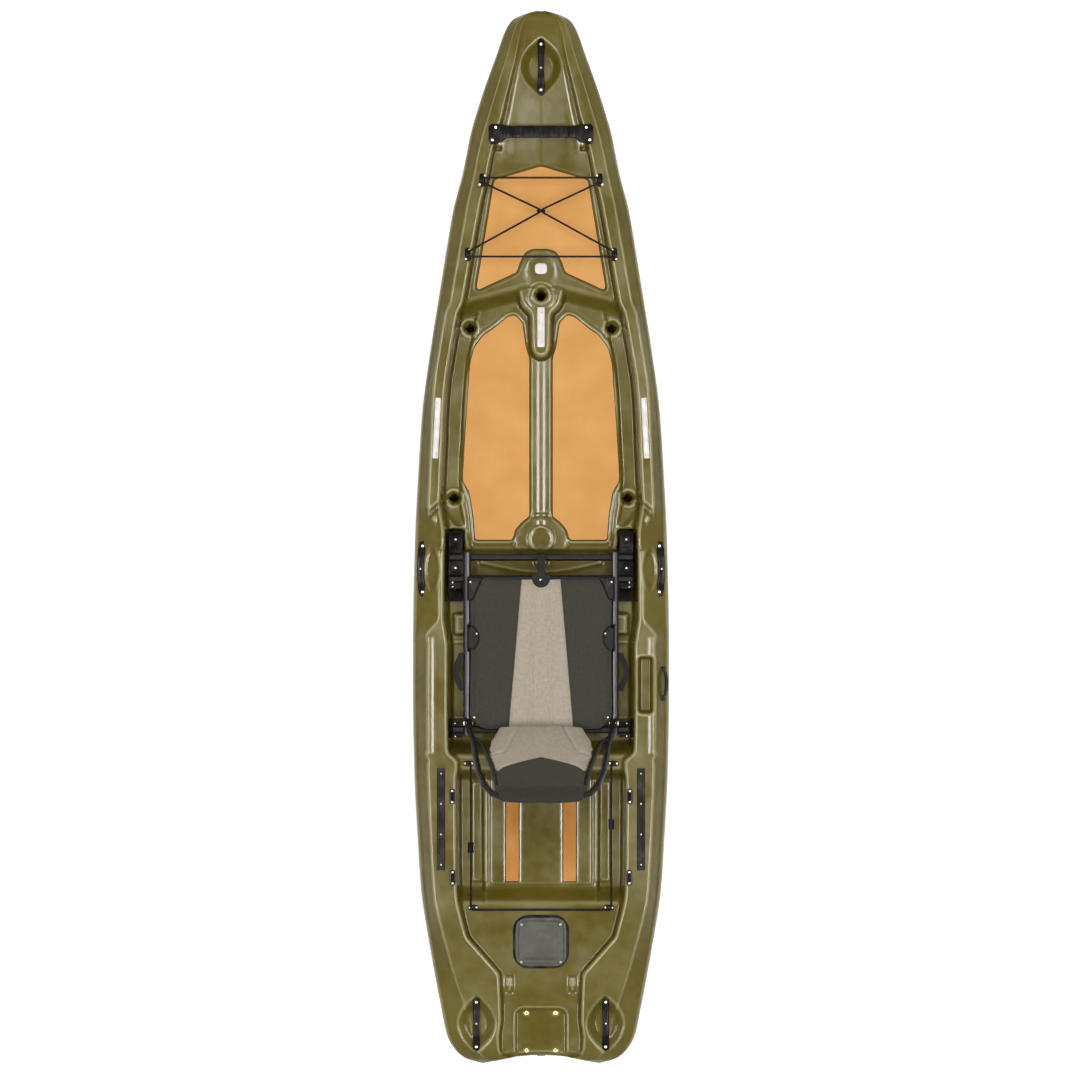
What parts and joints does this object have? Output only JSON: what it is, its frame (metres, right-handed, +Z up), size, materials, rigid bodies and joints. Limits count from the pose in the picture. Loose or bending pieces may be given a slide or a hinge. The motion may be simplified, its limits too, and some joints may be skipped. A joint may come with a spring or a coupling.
{
  "type": "sit-on-top fishing kayak",
  "caption": "Rotomoulded sit-on-top fishing kayak with a lift-out framed seat, folding backrest, deck pads, gear tracks, tankwell cords and a rear hatch.",
  "frame": {"origin": "middle of the hull's length and beam, on the plane that its keels stand on", "axes": "+Y along the hull to the bow, +X to starboard, +Z up"},
  "size_m": [0.864, 3.53, 0.7774],
  "materials": {
    "hull_polyethylene": "glossy rotomoulded polyethylene",
    "tan_foam": "matte closed-cell foam",
    "black_nylon": "satin moulded nylon",
    "black_rubber": "satin moulded rubber",
    "white_track": "satin extruded plastic",
    "black_track": "black anodised",
    "hatch_plastic": "satin moulded",
    "brass": "machined",
    "stainless_steel": "plain",
    "black_tube": "black anodised tube",
    "shock_cord": "braided",
    "charcoal_cloth": "woven",
    "taupe_cloth": "woven mesh"
  },
  "bodies": {
    "hull_body": {"hull": "hull_polyethylene", "front_deck_pad": "tan_foam", "standing_pad_port": "tan_foam", "standing_pad_starboard": "tan_foam", "tankwell_pad_port": "tan_foam", "tankwell_pad_starboard": "tan_foam", "gear_track_centre": "white_track", "gear_track_side_port": "white_track", "gear_track_side_starboard": "white_track", "gear_track_rear_port": "black_track", "gear_track_rear_starboard": "black_track", "bow_handle": "black_rubber", "side_handle_port": "black_rubber", "side_handle_starboard": "black_rubber", "stern_handle_port": "black_rubber", "stern_handle_starboard": "black_rubber", "bow_gear_strap": "black_rubber", "paddle_keeper": "black_rubber", "rear_hatch_seal": "black_rubber", "bow_hook_front_port": "black_nylon", "bow_hook_front_starboard": "black_nylon", "bow_hook_rear_port": "black_nylon", "bow_hook_rear_starboard": "black_nylon", "bow_cord_clip": "black_nylon", "tankwell_hook_front_port": "black_nylon", "tankwell_hook_front_starboard": "black_nylon", "tankwell_hook_rear_port": "black_nylon", "tankwell_hook_rear_starboard": "black_nylon", "pad_eye_front_port": "black_nylon", "pad_eye_front_starboard": "black_nylon", "pad_eye_rear_port": "black_nylon", "pad_eye_rear_starboard": "black_nylon", "front_saddle_port": "black_nylon", "front_saddle_starboard": "black_nylon", "rear_saddle_port": "black_nylon", "rear_saddle_starboard": "black_nylon", "bow_shock_cord": "shock_cord", "tankwell_shock_cord": "shock_cord", "rear_hatch_cover": "hatch_plastic", "rear_insert_1": "brass", "rear_insert_2": "brass", "rear_insert_3": "brass", "rear_insert_4": "brass"},
    "seat_body": {"seat_frame": "black_tube", "seat_cushion": "charcoal_cloth", "seat_strap_port": "charcoal_cloth", "seat_strap_starboard": "charcoal_cloth", "seat_front_tab": "black_nylon", "backrest_bolt_port": "stainless_steel", "backrest_bolt_starboard": "stainless_steel"},
    "backrest_body": {"backrest_frame": "black_tube", "backrest_cushion": "taupe_cloth"},
    "port_cord_hook_body": {"cord_hook_port": "black_nylon"},
    "starboard_cord_hook_body": {"cord_hook_starboard": "black_nylon"},
    "drain_plug_body": {"drain_plug": "black_nylon"}
  },
  "joints": [
    {"name": "seat_lift", "type": "slide", "parent": "hull_body", "child": "seat_body", "axis": [0, 0, 1], "range_m": [0, 0.12]},
    {"name": "backrest_fold", "type": "hinge", "parent": "seat_body", "child": "backrest_body", "pos_m": [0, -0.61104, 0.395], "axis": [-1, 0, 0], "range_deg": [-12, 78]},
    {"name": "port_cord_hook_slide", "type": "slide", "parent": "hull_body", "child": "port_cord_hook_body", "axis": [0, -0.9987, -0.0514], "range_m": [-0.12, 0.12]},
    {"name": "starboard_cord_hook_slide", "type": "slide", "parent": "hull_body", "child": "starboard_cord_hook_body", "axis": [0, -0.9987, -0.0514], "range_m": [-0.12, 0.12]},
    {"name": "drain_plug_turn", "type": "hinge", "parent": "hull_body", "child": "drain_plug_body", "pos_m": [0, -1.735, 0.205], "axis": [0, -1, 0], "range_deg": [0, 360]}
  ]
}
